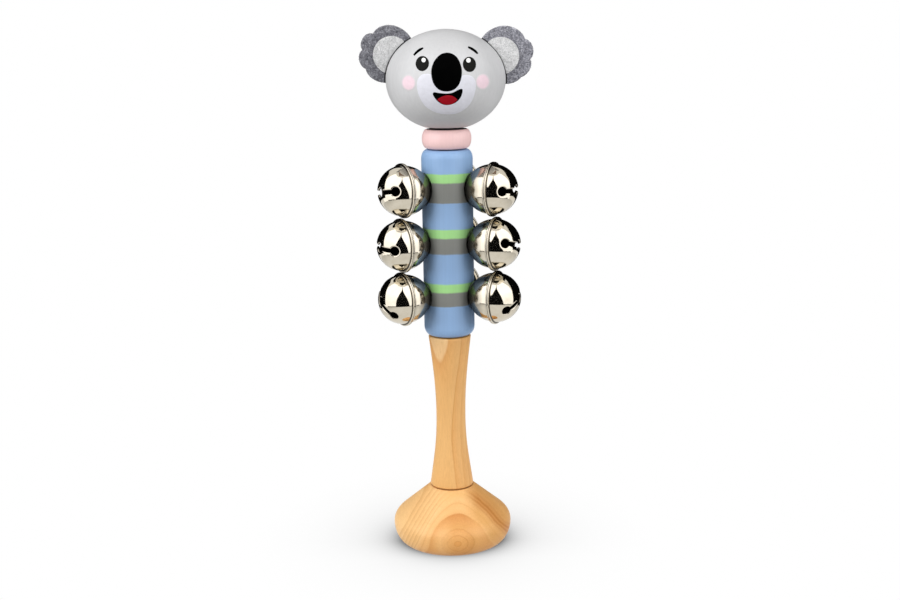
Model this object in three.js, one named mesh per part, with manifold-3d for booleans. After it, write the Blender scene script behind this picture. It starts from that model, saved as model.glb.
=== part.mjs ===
import * as THREE from 'three';
import { mergeVertices } from 'three/addons/utils/BufferGeometryUtils.js';
import Module from 'manifold-3d';

const wasm = await Module();
wasm.setup();

// Bell stick: a turned wooden rattle that stands on its foot. All sizes in millimetres,
// +Z up, the face looks along -Y, the flat underside of the base lies on Z = 0.

// Base, a low turned cone with a round shoulder
const baseHeight = 23.7;
const baseRadius = 24.0;
const baseFlatRadius = 18.4;
const baseWidestHeight = 8.2;
const baseTopRadius = 8.8;
const baseConeDeg = 40;
const baseShoulder = 3.4;
const baseBoreDepth = 13;

// Handle, waisted for a small hand
const handleLength = 63.35;
const handleTopRadius = 8.45;
const handleWaistRadius = 5.9;
const handleFootRadius = 8.7;
const handleWaistShare = 0.47;
const handleEdge = 0.5;
const handleBoreDepth = 12;

// Striped body that carries the bells
const bodyLength = 74.15;
const bodyRadius = 10.05;
const bodyEdge = 2.2;
const bodyEdgeHeight = 3.6;

// Neck ring
const ringHeight = 8.1;
const ringRadius = 9.63;
const ringEndRadius = 7.7;

// Head, an egg lying between two half ellipsoids, cut flat where it sits on the ring
const headRadius = 23.1;
const headUpper = 19.0;
const headLower = 19.4;
const headSeatRadius = 7.2;
const headBoreDepth = 13;

// Felt ears: scalloped outer felt pushed into a sawn slot, round inner felt glued in front
const earRadius = 11.0;
const earFelt = 2.5;
const earStandoff = 2.2;
const earTongue = 5;
const earSlotFit = 0.25;
const earBearingDeg = { left: 27.6, right: 24.4 };
const earNotchDeg = { left: [23.7, -22.6, -66.2], right: [9, -39.5, -83.4] };
const earNotchDepth = { left: [1.75, 1.5, 1.0], right: [1.4, 1.3, 0.6] };
const patchRadius = 7.1;
const patchFelt = 1.1;
const patchInset = 1.8;
const patchRise = 0.6;
const patchHeadGap = 0.3;

// Dowels that pin the turned pieces together
const dowelRadius = 4;
const dowelFit = 0.15;
const dowelEndGap = 0.4;
const dowelStock = 4;
const glueLine = 0.1;

// Pressed jingle bell: two half shells, crimped at a flange
const bellRadius = 9.75;
const bellWall = 0.5;
const bellInnerDepth = 11.2;
const flangeWidth = 0.75;
const flangeThickness = 0.55;
const seamGap = 0.12;
const slotWidth = 1.6;
const slotHoleRadius = 1.8;
const slotHoleDeg = 47;
const slotCentreRadius = 1.45;
const pelletRadius = 2.75;
const pelletGap = 0.35;

// Headed nail on which each bell turns
const nailRadius = 0.95;
const nailFit = 0.15;
const nailRunning = 0.25;
const nailHeadRadius = 2.4;
const nailHeadThickness = 0.9;
const nailHeadGap = 0.3;
const nailPoint = 1.6;
const nailTipRadius = 2.3;

// Where the bells sit: three columns round the body, three rows along it
const recessDepths = [2.2, 1.25, 1.25];
const recessFit = 0.5;
const bellGap = 0.3;
const bellRise = 0.5;
const columnDeg = { left: 205, right: 338, rear: 83 };
const slotTurnDeg = {
  left: [97.4, 85, 45],
  right: [88.7, 77.2, 121.8],
  rear: [110, 78, 38],
};

// Sides of the round pieces
const woodSides = 32;
const slimSides = 24;
const bellSides = 16;
const cupSides = 10;
const dowelSides = 8;
const nailSides = 7;
const pelletSides = 8;

// Heights and reaches that follow from the sizes above
const bodyFoot = baseHeight + handleLength;
const ringFoot = bodyFoot + bodyLength;
const headFoot = ringFoot + ringHeight;
const flangeRadius = bellRadius + flangeWidth;
const bellPitch = 2 * flangeRadius + bellGap;
const bellReach = (row) => bodyRadius - recessDepths[row] + bellInnerDepth;
const nailBoreRadius = nailRadius + nailFit;
const dowelBoreRadius = dowelRadius + dowelFit;
const bodyBoreDepth = bodyLength / 2 - bellRise - bellPitch - nailBoreRadius - dowelStock;
const headSeatDrop = headLower * Math.sqrt(1 - (headSeatRadius / headRadius) ** 2);
const headLevel = headFoot + headSeatDrop;

const v2 = (r, z) => new THREE.Vector2(r, z);
const rad = THREE.MathUtils.degToRad;

// Points of an elliptic arc about (0, z0), from one angle to another, in even steps
function arc(z0, across, along, fromDeg, toDeg, steps) {
  const points = [];
  for (let i = 0; i <= steps; i += 1) {
    const a = rad(fromDeg + ((toDeg - fromDeg) * i) / steps);
    points.push(v2(across * Math.cos(a), z0 + along * Math.sin(a)));
  }
  return points;
}

// Welds the corners of a geometry and drops the triangles that collapse on the axis
function weld(geometry) {
  const bare = geometry.clone();
  bare.deleteAttribute('normal');
  bare.deleteAttribute('uv');
  const merged = mergeVertices(bare, 1e-4);
  const index = merged.index.array;
  const kept = [];
  for (let i = 0; i < index.length; i += 3) {
    const corners = [index[i], index[i + 1], index[i + 2]];
    if (new Set(corners).size === 3) kept.push(...corners);
  }
  merged.setIndex(kept);
  return merged;
}

// A piece turned about Z from a profile of radius and height
function turned(profile, sides) {
  const geometry = new THREE.LatheGeometry(profile, sides);
  geometry.rotateX(Math.PI / 2);
  return weld(geometry);
}

function toSolid(geometry) {
  const bare = weld(geometry);
  return new wasm.Manifold(new wasm.Mesh({
    numProp: 3,
    vertProperties: new Float32Array(bare.attributes.position.array),
    triVerts: new Uint32Array(bare.index.array),
  }));
}

function fromSolid(solid) {
  const mesh = solid.getMesh();
  const geometry = new THREE.BufferGeometry();
  geometry.setAttribute('position', new THREE.BufferAttribute(mesh.vertProperties, 3));
  geometry.setIndex(new THREE.BufferAttribute(mesh.triVerts, 1));
  return geometry;
}

function cut(geometry, cutters) {
  const tools = cutters.map(toSolid);
  const tool = tools.reduce((all, next) => all.add(next));
  return fromSolid(toSolid(geometry).subtract(tool));
}

function piece(name, geometry, color, roughness, metalness) {
  const material = new THREE.MeshStandardMaterial({ color, roughness, metalness });
  geometry.computeVertexNormals();
  const mesh = new THREE.Mesh(geometry, material);
  mesh.name = name;
  return mesh;
}

// Blind bore from an end face at height z, as the last or first points of a profile
const bore = (z, depth) => [v2(dowelBoreRadius, z), v2(dowelBoreRadius, z + depth), v2(0, z + depth)];

function baseShape() {
  const cone = Math.tan(rad(baseConeDeg));
  const coneFoot = baseHeight - (baseRadius - baseTopRadius) * cone;
  const run = baseShoulder * Math.cos(rad(baseConeDeg));
  const foot = arc(baseWidestHeight, baseRadius - baseFlatRadius, baseWidestHeight, -90, 0, 4);
  for (const p of foot) p.x += baseFlatRadius;
  const shoulder = new THREE.QuadraticBezierCurve(
    v2(baseRadius, baseWidestHeight),
    v2(baseRadius, Math.max(coneFoot, baseWidestHeight)),
    v2(baseRadius - run, coneFoot + run * cone),
  );
  const top = baseHeight;
  const profile = [v2(0, 0), ...foot, ...shoulder.getPoints(3).slice(1), v2(baseTopRadius, top)];
  return turned([...profile, ...bore(top, -baseBoreDepth)], woodSides);
}

function handleShape() {
  const low = glueLine;
  const high = handleLength;
  const waist = handleLength * handleWaistShare;
  const pull = handleLength * 0.2;
  const lower = new THREE.CubicBezierCurve(
    v2(handleFootRadius, low + handleEdge),
    v2(handleFootRadius - 0.6 * (handleFootRadius - handleWaistRadius), low + pull),
    v2(handleWaistRadius, waist - pull * 0.9),
    v2(handleWaistRadius, waist),
  );
  const upper = new THREE.CubicBezierCurve(
    v2(handleWaistRadius, waist),
    v2(handleWaistRadius, waist + pull * 0.9),
    v2(handleTopRadius - 0.6 * (handleTopRadius - handleWaistRadius), high - pull),
    v2(handleTopRadius, high - handleEdge),
  );
  const profile = [
    ...bore(low, handleBoreDepth).reverse(),
    v2(handleFootRadius - handleEdge, low),
    ...lower.getPoints(4),
    ...upper.getPoints(4).slice(1),
    v2(handleTopRadius - handleEdge, high),
    ...bore(high, -handleBoreDepth),
  ];
  return turned(profile, slimSides);
}

// Frame of a bell: origin on its seam, local +Z out along the nail, local +X down
function bellFrame(column, row) {
  const turn = rad(columnDeg[column]);
  const height = bodyLength / 2 + bellRise + (1 - row) * bellPitch;
  const reach = bellReach(row);
  const frame = new THREE.Matrix4();
  frame.makeRotationFromEuler(new THREE.Euler(0, Math.PI / 2, turn, 'ZYX'));
  frame.setPosition(reach * Math.cos(turn), reach * Math.sin(turn), height);
  return frame;
}

// Cup that a bell rests in, cut into the body a little deeper than the bell
function cupCutter(row) {
  const along = bellInnerDepth + recessFit;
  const mouth = bodyRadius - bellReach(row) + 1;
  const mouthDeg = THREE.MathUtils.radToDeg(Math.asin(mouth / along));
  const cup = arc(0, bellRadius + recessFit, along, -90, mouthDeg, 2);
  return turned([...cup, v2(0, mouth)], cupSides);
}

// Bore that holds a nail, from the cup down to just short of the stick's axis
function nailCutter(row) {
  const end = nailTipRadius - nailFit - bellReach(row);
  const start = bodyRadius - bellReach(row);
  const wall = [v2(nailBoreRadius, end), v2(nailBoreRadius, start)];
  return turned([v2(0, end), ...wall, v2(0, start)], nailSides);
}

function bodyShape() {
  const low = glueLine;
  const high = bodyLength;
  const core = bodyRadius - bodyEdge;
  const foot = arc(low + bodyEdgeHeight, bodyEdge, bodyEdgeHeight, -90, 0, 4);
  const crown = arc(high - bodyEdgeHeight, bodyEdge, bodyEdgeHeight, 0, 90, 4);
  for (const p of [...foot, ...crown]) p.x += core;
  const profile = [...bore(low, bodyBoreDepth).reverse(), ...foot, ...crown];
  const blank = turned([...profile, ...bore(high, -bodyBoreDepth)], slimSides);
  const cutters = [];
  for (const column of Object.keys(columnDeg)) {
    for (let row = 0; row < 3; row += 1) {
      const frame = bellFrame(column, row);
      cutters.push(cupCutter(row).applyMatrix4(frame));
      cutters.push(nailCutter(row).applyMatrix4(frame));
    }
  }
  return cut(blank, cutters);
}

function ringShape() {
  const middle = (glueLine + ringHeight) / 2;
  const half = (ringHeight - glueLine) / 2;
  const bulge = ringRadius - ringEndRadius;
  const side = arc(middle, bulge, half, -90, 90, 6);
  for (const p of side) p.x += ringEndRadius;
  const inside = [v2(dowelBoreRadius, ringHeight), v2(dowelBoreRadius, glueLine)];
  return turned([...side, ...inside, side[0].clone()], slimSides);
}

// Head blank about its widest level, grown all round by a given amount
function headBlank(grow) {
  const radius = headRadius + grow;
  const seat = -headSeatDrop + glueLine - grow;
  const lowDeg = -THREE.MathUtils.radToDeg(Math.acos(headSeatRadius / headRadius));
  const lower = arc(0, radius, headLower + grow, lowDeg, 0, 5);
  lower[0].y = seat;
  const upper = arc(0, radius, headUpper + grow, 0, 90, 6).slice(1);
  return turned([...bore(seat, headBoreDepth).reverse(), ...lower, ...upper], woodSides);
}

// Outline of an ear about its own middle: +X away from the head, scallops on the free side
function earOutline(side, grow) {
  const chord = earStandoff + earTongue + grow;
  const reach = earRadius + grow;
  const endDeg = THREE.MathUtils.radToDeg(Math.acos(-chord / reach));
  const stops = [endDeg, ...earNotchDeg[side], -endDeg];
  const depths = [0, ...earNotchDepth[side], 0];
  const shape = new THREE.Shape();
  for (let lobe = 0; lobe < stops.length - 1; lobe += 1) {
    const steps = lobe === 0 ? 10 : 7;
    for (let i = lobe === 0 ? 0 : 1; i <= steps; i += 1) {
      const t = i / steps;
      const deg = stops[lobe] + (stops[lobe + 1] - stops[lobe]) * t;
      const r = reach - depths[lobe] * (1 - t) ** 5 - depths[lobe + 1] * t ** 5;
      const point = v2(r * Math.cos(rad(deg)), r * Math.sin(rad(deg)));
      if (lobe === 0 && i === 0) shape.moveTo(point.x, point.y);
      else shape.lineTo(point.x, point.y);
    }
  }
  return shape;
}

// A flat felt cut from an outline, standing in the XZ plane, its front face at depth y
function felt(shape, front, thickness) {
  const geometry = new THREE.ExtrudeGeometry(shape, {
    depth: thickness,
    bevelEnabled: false,
    curveSegments: 18,
  });
  geometry.rotateX(Math.PI / 2);
  geometry.translate(0, front + thickness, 0);
  return weld(geometry);
}

// Middle and tilt of an ear, standing off the head along the head's own normal
function earFrame(side) {
  const sign = side === 'left' ? -1 : 1;
  const t = rad(earBearingDeg[side]);
  const normal = v2(Math.cos(t) / headRadius, Math.sin(t) / headUpper).normalize();
  const x = headRadius * Math.cos(t) + earStandoff * normal.x;
  const z = headUpper * Math.sin(t) + earStandoff * normal.y;
  const frame = new THREE.Matrix4().makeRotationY(-normal.angle());
  frame.setPosition(x, 0, z);
  return new THREE.Matrix4().makeScale(sign, 1, 1).multiply(frame);
}

// Turns the triangles of a mirrored piece the right way out again
function mirrored(geometry, frame) {
  geometry.applyMatrix4(frame);
  if (frame.determinant() < 0) {
    const index = geometry.index.array;
    for (let i = 0; i < index.length; i += 3) {
      const last = index[i + 2];
      index[i + 2] = index[i + 1];
      index[i + 1] = last;
    }
  }
  return geometry;
}

function earShape(side, grow) {
  const thickness = earFelt + 2 * grow;
  return mirrored(felt(earOutline(side, grow), -thickness / 2, thickness), earFrame(side));
}

function patchShape(side) {
  const disc = new THREE.Shape();
  disc.absarc(-patchInset, patchRise, patchRadius, 0, 2 * Math.PI, false);
  const front = -earFelt / 2 - glueLine - patchFelt;
  const round = mirrored(felt(disc, front, patchFelt), earFrame(side));
  return cut(round, [headBlank(patchHeadGap)]);
}

function headShape() {
  const slots = ['left', 'right'].map((side) => earShape(side, earSlotFit));
  return cut(headBlank(0), slots);
}

function dowelShape(length) {
  const nose = dowelRadius * 0.2;
  return turned([
    v2(0, 0),
    v2(dowelRadius - nose, 0),
    v2(dowelRadius, nose),
    v2(dowelRadius, length - nose),
    v2(dowelRadius - nose, length),
    v2(0, length),
  ], dowelSides);
}

// Half shell on the wood side: longer than round, with a hole at the pole for the nail
function innerShellShape() {
  const seam = -seamGap / 2;
  const back = seam - flangeThickness;
  const inside = bellRadius - bellWall;
  const hole = nailRadius + nailRunning;
  const holeDeg = (across) => THREE.MathUtils.radToDeg(Math.asin(hole / across)) - 90;
  const backDeg = THREE.MathUtils.radToDeg(Math.asin(back / bellInnerDepth));
  const outer = arc(0, bellRadius, bellInnerDepth, holeDeg(bellRadius), backDeg, 3);
  const hollow = arc(seam, inside, bellInnerDepth - bellWall + seam, 0, holeDeg(inside), 3);
  const rim = [v2(flangeRadius, back), v2(flangeRadius, seam)];
  return turned([...outer, ...rim, ...hollow, outer[0].clone()], bellSides);
}

// Half shell on the free side: a hemisphere with one slot over its pole, a round eye in the middle
// of the slot and a round hole at each end
function outerShellShape() {
  const seam = seamGap / 2;
  const back = seam + flangeThickness;
  const inside = bellRadius - bellWall;
  const backDeg = THREE.MathUtils.radToDeg(Math.asin(back / bellRadius));
  const outer = arc(0, bellRadius, bellRadius, backDeg, 90, 4);
  const hollow = arc(seam, inside, inside - seam, 90, 0, 3);
  const rim = [v2(flangeRadius, seam), v2(flangeRadius, back)];
  const cup = turned([...hollow, ...rim, ...outer], bellSides);
  const reach = inside * Math.sin(rad(slotHoleDeg));
  const low = inside * Math.cos(rad(slotHoleDeg)) * 0.85;
  const tall = bellRadius * 1.1 - low;
  const slot = new THREE.BoxGeometry(2 * reach, slotWidth, tall);
  const cutters = [slot.translate(0, 0, low + tall / 2)];
  for (const end of [-1, 1]) {
    const punch = new THREE.CylinderGeometry(slotHoleRadius, slotHoleRadius, 6 * bellWall, 10);
    punch.rotateX(Math.PI / 2);
    punch.translate(0, 0, bellRadius - bellWall / 2);
    cutters.push(punch.rotateY(end * rad(slotHoleDeg)));
  }
  const eye = new THREE.CylinderGeometry(slotCentreRadius, slotCentreRadius, tall, 10);
  eye.rotateX(Math.PI / 2);
  cutters.push(eye.translate(0, 0, low + tall / 2));
  return cut(cup, cutters);
}

function pelletShape() {
  return turned(arc(0, pelletRadius, pelletRadius, -90, 90, 4), pelletSides);
}

function nailShape(row) {
  const inside = bellRadius - bellWall;
  const floor = (bellInnerDepth - bellWall) * Math.sqrt(1 - (nailHeadRadius / inside) ** 2);
  const under = nailHeadGap - floor;
  const tip = nailTipRadius - bellReach(row);
  return turned([
    v2(0, tip),
    v2(nailRadius, tip + nailPoint),
    v2(nailRadius, under),
    v2(nailHeadRadius, under),
    v2(nailHeadRadius * 0.9, under + nailHeadThickness),
    v2(0, under + nailHeadThickness),
  ], nailSides);
}

const stick = new THREE.Group();

stick.add(piece('base', baseShape(), 0xf3c285, 0.5, 0));

const handle = piece('handle', handleShape(), 0xe6b06a, 0.5, 0);
handle.position.z = baseHeight;
stick.add(handle);

const body = piece('body', bodyShape(), 0x92b3da, 0.5, 0);
body.position.z = bodyFoot;
stick.add(body);

const ring = piece('neck_ring', ringShape(), 0xf6d0cf, 0.5, 0);
ring.position.z = ringFoot;
stick.add(ring);

const headGroup = new THREE.Group();
headGroup.position.z = headLevel;
headGroup.add(piece('head', headShape(), 0xcbcbc9, 0.45, 0));
for (const side of ['left', 'right']) {
  headGroup.add(piece(`ear_outer_${side}`, earShape(side, 0), 0x7f7f89, 1, 0));
  headGroup.add(piece(`ear_inner_${side}`, patchShape(side), 0xd9d9d9, 1, 0));
}
stick.add(headGroup);

// Each dowel runs between two bore floors, short of both by the end gap
function addDowel(name, lowFloor, highFloor) {
  const length = highFloor - lowFloor - 2 * dowelEndGap;
  const dowel = piece(name, dowelShape(length), 0xe2bf8e, 0.7, 0);
  dowel.position.z = lowFloor + dowelEndGap;
  stick.add(dowel);
}
addDowel('foot_dowel', baseHeight - baseBoreDepth, baseHeight + glueLine + handleBoreDepth);
addDowel('middle_dowel', bodyFoot - handleBoreDepth, bodyFoot + glueLine + bodyBoreDepth);
addDowel('neck_dowel', ringFoot - bodyBoreDepth, headFoot + glueLine + headBoreDepth);

const rowName = ['top', 'middle', 'bottom'];
for (const column of Object.keys(columnDeg)) {
  for (let row = 0; row < 3; row += 1) {
    const key = `${column}_${rowName[row]}`;
    const seat = new THREE.Group();
    seat.applyMatrix4(bellFrame(column, row));
    seat.position.z += bodyFoot;
    const bell = new THREE.Group();
    bell.rotation.z = rad(slotTurnDeg[column][row]);
    bell.add(piece(`bell_inner_${key}`, innerShellShape(), 0xd3cdc2, 0.15, 1));
    bell.add(piece(`bell_outer_${key}`, outerShellShape(), 0xd8d2c8, 0.12, 1));
    seat.add(bell);
    const pellet = piece(`pellet_${key}`, pelletShape(), 0x8d8b88, 0.3, 1);
    pellet.position.x = bellRadius - bellWall - pelletRadius - pelletGap;
    seat.add(pellet);
    seat.add(piece(`nail_${key}`, nailShape(row), 0xb5b2ac, 0.35, 1));
    stick.add(seat);
  }
}

export default stick;
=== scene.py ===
import random
from itertools import accumulate
from math import acos, asin, cos, degrees, hypot, radians, sin, sqrt, tan, tau

import bmesh
import bpy
from mathutils import Matrix, Vector, noise
from mathutils.geometry import delaunay_2d_cdt


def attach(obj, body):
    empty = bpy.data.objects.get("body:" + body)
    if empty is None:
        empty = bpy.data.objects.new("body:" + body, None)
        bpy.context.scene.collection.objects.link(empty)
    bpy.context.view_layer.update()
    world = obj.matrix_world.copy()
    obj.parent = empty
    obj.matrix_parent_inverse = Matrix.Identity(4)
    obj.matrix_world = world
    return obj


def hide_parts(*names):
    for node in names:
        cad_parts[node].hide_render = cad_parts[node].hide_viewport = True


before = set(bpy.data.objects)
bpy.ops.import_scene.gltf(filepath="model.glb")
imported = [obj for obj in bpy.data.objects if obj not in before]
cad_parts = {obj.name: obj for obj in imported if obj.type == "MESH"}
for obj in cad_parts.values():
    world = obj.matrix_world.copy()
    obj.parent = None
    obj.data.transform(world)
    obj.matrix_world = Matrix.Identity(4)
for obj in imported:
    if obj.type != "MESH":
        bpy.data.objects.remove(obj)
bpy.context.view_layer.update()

MM = 0.001
scene = bpy.context.scene
scene.view_settings.view_transform = "Standard"

WHITE = (1, 1, 1, 1)
SHARP, SHARP_CUT = 38, 50  # angles at which shading breaks

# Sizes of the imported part, in millimetres and degrees
BASE_TOP, BODY_FOOT, RING_FOOT, HEAD_FOOT = 23.7, 87.05, 161.2, 169.3
BASE_R, BASE_FLAT, BASE_WIDEST, BASE_NECK = 24, 18.4, 8.2, 8.8
BASE_CONE, BASE_SHOULDER, BASE_BORE = radians(40), 3.4, 13
BASE_EDGE, BASE_SINK = 0.4, 0.2
HANDLE_R, HANDLE_SHARE, HANDLE_BORE = {"foot": 8.7, "waist": 5.9, "top": 8.45}, 0.47, 12
HANDLE_PULL, HANDLE_BEND, HANDLE_EDGE = 0.2, 0.6, 0.5
BODY_R, BODY_EDGE = 10.05, (2.2, 3.6)
RING_R, RING_END = 9.63, 7.7
HEAD_R, HEAD_UP, HEAD_LOW, HEAD_SEAT, HEAD_BORE = 23.1, 19, 19.4, 7.2, 13
HEAD_DROP = HEAD_LOW * sqrt(1 - (HEAD_SEAT / HEAD_R) ** 2)
HEAD_Z = HEAD_FOOT + HEAD_DROP
EAR_R, EAR_FELT, EAR_STANDOFF, EAR_TONGUE, EAR_FIT = 11, 2.5, 2.2, 5, 0.25
EAR_BEARING = {"left": 27.6, "right": 24.4}
NOTCH_DEG = {"left": (23.7, -22.6, -66.2), "right": (9, -39.5, -83.4)}
NOTCH_DEPTH = {"left": (1.75, 1.5, 1), "right": (1.4, 1.3, 0.6)}
PATCH_R, PATCH_INSET, PATCH_RISE = 7.1, 1.8, 0.6
BORE, DOWEL_WALL = 4.15, 4
BELL_R, BELL_WALL, BELL_DEEP = 9.75, 0.5, 11.2
BELL_INSIDE = BELL_R - BELL_WALL
PELLET_R, PELLET_GAP = 2.75, 0.35
NAIL_R, NAIL_BORE, NAIL_HEAD, NAIL_HEAD_GAP, NAIL_TIP = 0.95, 1.1, 2.4, 0.3, 2.3
COLUMN = {"left": 205, "right": 338, "rear": 83}
ROW_Z = {"top": 145.925, "middle": 124.625, "bottom": 103.325}
REACH = {"top": 19.05, "middle": 20, "bottom": 20}
BELL_TURN = {"left": (97.4, 85, 45), "right": (88.7, 77.2, 121.8), "rear": (110, 78, 38)}
CUP_CLEAR, BORE_CLEAR = 0.5, 0.15

# Sizes that the scene sets itself: open joints, slots, tip of the bells, felt
FOOT_SEAM, WAIST_SEAM, RING_SEAM, NECK_SEAM = 0.32, 0.3, 0.22, 0.4
SLOT_HALF, SLOT_EYE, SLOT_HOLE, SLOT_TURN = 0.84, 2, 1.85, radians(47)
LIP, LIP_CLEAR, SEAM_HALF, NAIL_HOLE, BELL_SIDES = 0.66, 0.95, 0.06, 1.7, 96
FLANGE_DEG, INNER_DEG = 83, 6.4  # where the balls end, from the pole and from the seam
BELL_TIP = {"left": 3.5, "right": -1, "rear": 0}
PATCH_CLEAR, PATCH_FRONT = {"left": 0.36, "right": 0.24}, 2
HAIR_CLEAR = 0.9
EAR_HAIRS, PATCH_HAIRS = (2600, 0.9), (1100, 0.8)  # count and length of the loose fibres

# Grain of the base, paint of the head, studio
HEART, HEART_WIDE = 7, 0.85
HEAD_GREY, INK_STEP = (206, 206, 207), 0.7
BOARD_BLACK, BOARD_WHITE = (8, 8, 8), (252, 252, 255)
LAMP_AIM = (0, 0, 0.12)
CAMERA_AT, CAMERA_DOWN, CAMERA_ROLL = (0.000341, -0.489298, 0.206631), 12.195, -0.893
FLOOR_R, EYE_Z, AMBIENT, PANEL_GLOW, PANEL_FOOT = 250, 140, 0.375, 2.2, 1.75


# Meshes

def smooth(mesh, sharp=SHARP):
    """Smooth shading that breaks at sharper edges."""
    mesh.shade_smooth()
    mesh.set_sharp_from_angle(angle=radians(sharp))


def link(name, data):
    obj = bpy.data.objects.new(name, data)
    scene.collection.objects.link(obj)
    return obj


def make(name, verts, faces):
    mesh = bpy.data.meshes.new(name)
    mesh.from_pydata([Vector(v) * MM for v in verts], [], faces)
    mesh.validate()
    mesh.update()
    smooth(mesh)
    return link(name, mesh)


def add(verts, points):
    """Adds points and gives back their numbers."""
    start = len(verts)
    verts += points
    return list(range(start, len(verts)))


def strip(faces, low, high):
    """Faces between two rings of vertex numbers; either may be one point."""
    count = max(len(low), len(high))
    for i in range(count):
        j = (i + 1) % count
        ring = [low[i % len(low)], low[j % len(low)], high[j % len(high)], high[i % len(high)]]
        face = list(dict.fromkeys(ring))
        if len(face) > 2:
            faces.append(face)


def join(faces, rings):
    for low, high in zip(rings, rings[1:]):
        strip(faces, low, high)


def circle(r, sides, shift=0):
    """Points round the origin, turned by a share of one step."""
    angles = [tau * (i + shift) / sides for i in range(sides)]
    return [(r * cos(a), r * sin(a)) for a in angles]


def lathe(profile, sides, closed=False):
    """A profile of radius and height turned about Z, outside on its right."""
    verts, faces, rings = [], [], []
    for r, z in profile:
        ring = [(0, 0)] if r < 1e-6 else circle(r, sides)
        rings.append(add(verts, [(x, y, z) for x, y in ring]))
    join(faces, [*rings, rings[0]] if closed else rings)
    return verts, faces


def arc(r0, z0, across, along, start, end, steps):
    angles = [radians(start + (end - start) * i / steps) for i in range(steps + 1)]
    return [(r0 + across * cos(a), z0 + along * sin(a)) for a in angles]


def bezier(points, steps):
    out = []
    for i in range(steps + 1):
        level = [Vector(p) for p in points]
        while len(level) > 1:
            level = [a.lerp(b, i / steps) for a, b in zip(level, level[1:])]
        out.append(tuple(level[0]))
    return out


def moved(points, matrix):
    return [matrix @ Vector(p) for p in points]


def carve(obj, cutters):
    for cutter in cutters:
        mod = obj.modifiers.new("carve", "BOOLEAN")
        mod.operation = "DIFFERENCE"
        mod.solver = "EXACT"
        mod.object = cutter
    graph = bpy.context.evaluated_depsgraph_get()
    mesh = bpy.data.meshes.new_from_object(obj.evaluated_get(graph))
    obj.modifiers.clear()
    old = obj.data
    obj.data = mesh
    bpy.data.meshes.remove(old)
    smooth(mesh)
    for cutter in cutters:
        bpy.data.objects.remove(cutter)


def inside(point, polygon):
    x, y = point
    hit = False
    for (x1, y1), (x2, y2) in zip(polygon, polygon[1:] + polygon[:1]):
        if (y1 > y) != (y2 > y) and x < (x2 - x1) * (y - y1) / (y2 - y1) + x1:
            hit = not hit
    return hit


def beside(p, a, b, amount):
    """A point moved to the left of the run from a to b."""
    run = (Vector(b) - Vector(a)).normalized()
    return (p[0] - run.y * amount, p[1] + run.x * amount)


def inset(polygon, amount):
    """A closed outline, counter-clockwise, moved inwards."""
    after = polygon[1:] + polygon[:1]
    return [beside(p, polygon[i - 1], after[i], amount) for i, p in enumerate(polygon)]


def area_of(polygon):
    total = 0
    for (x1, y1), (x2, y2) in zip(polygon, polygon[1:] + polygon[:1]):
        total += x1 * y2 - x2 * y1
    return total / 2


def fill(outlines, inner, keep):
    """Triangles over outlines and loose points; keep tells which middles stay."""
    points, edges = [], []
    for outline in outlines:
        start = len(points)
        points += [Vector(p) for p in outline]
        edges += [(start + i, start + (i + 1) % len(outline)) for i in range(len(outline))]
    points += [Vector(p) for p in inner]
    verts, _, faces, _, _, _ = delaunay_2d_cdt(points, edges, [], 0, 1e-7)

    def middle(face):
        return sum((verts[i] for i in face), Vector((0, 0))) / len(face)
    return verts, [list(face) for face in faces if keep(middle(face))]


def grid(polygon, step, margin, rng):
    """Loose points inside an outline on a jittered grid."""
    core = inset(polygon, margin)
    xs, ys = zip(*core)
    out = []
    y = min(ys)
    while y < max(ys):
        x = min(xs)
        while x < max(xs):
            p = (x + rng.uniform(-0.2, 0.2) * step, y + rng.uniform(-0.2, 0.2) * step)
            if inside(p, core):
                out.append(p)
            x += step
        y += step
    return out


def spline(points, each=8):
    """A closed smooth curve through the given points."""
    out = []
    count = len(points)
    for i in range(count):
        p0, p1, p2, p3 = (Vector(points[(i + k) % count]) for k in (-1, 0, 1, 2))
        for j in range(each):
            t = j / each
            out.append(tuple(0.5 * ((2 * p1) + (p2 - p0) * t
                                    + (2 * p0 - 5 * p1 + 4 * p2 - p3) * t * t
                                    + (3 * p1 - 3 * p2 + p3 - p0) * t ** 3)))
    return out if area_of(out) > 0 else out[::-1]


def upright(obj, sharp=SHARP_CUT):
    """Turns all faces of a closed piece outwards."""
    bm = bmesh.new()
    bm.from_mesh(obj.data)
    bmesh.ops.recalc_face_normals(bm, faces=bm.faces)
    bm.to_mesh(obj.data)
    bm.free()
    smooth(obj.data, sharp)
    return obj


# Materials

def lin(*rgb):
    """Linear colour from three values of 0 to 255."""
    shares = [c / 255 for c in rgb]
    return (*[c / 12.92 if c <= 0.04045 else ((c + 0.055) / 1.055) ** 2.4 for c in shares], 1)


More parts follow.
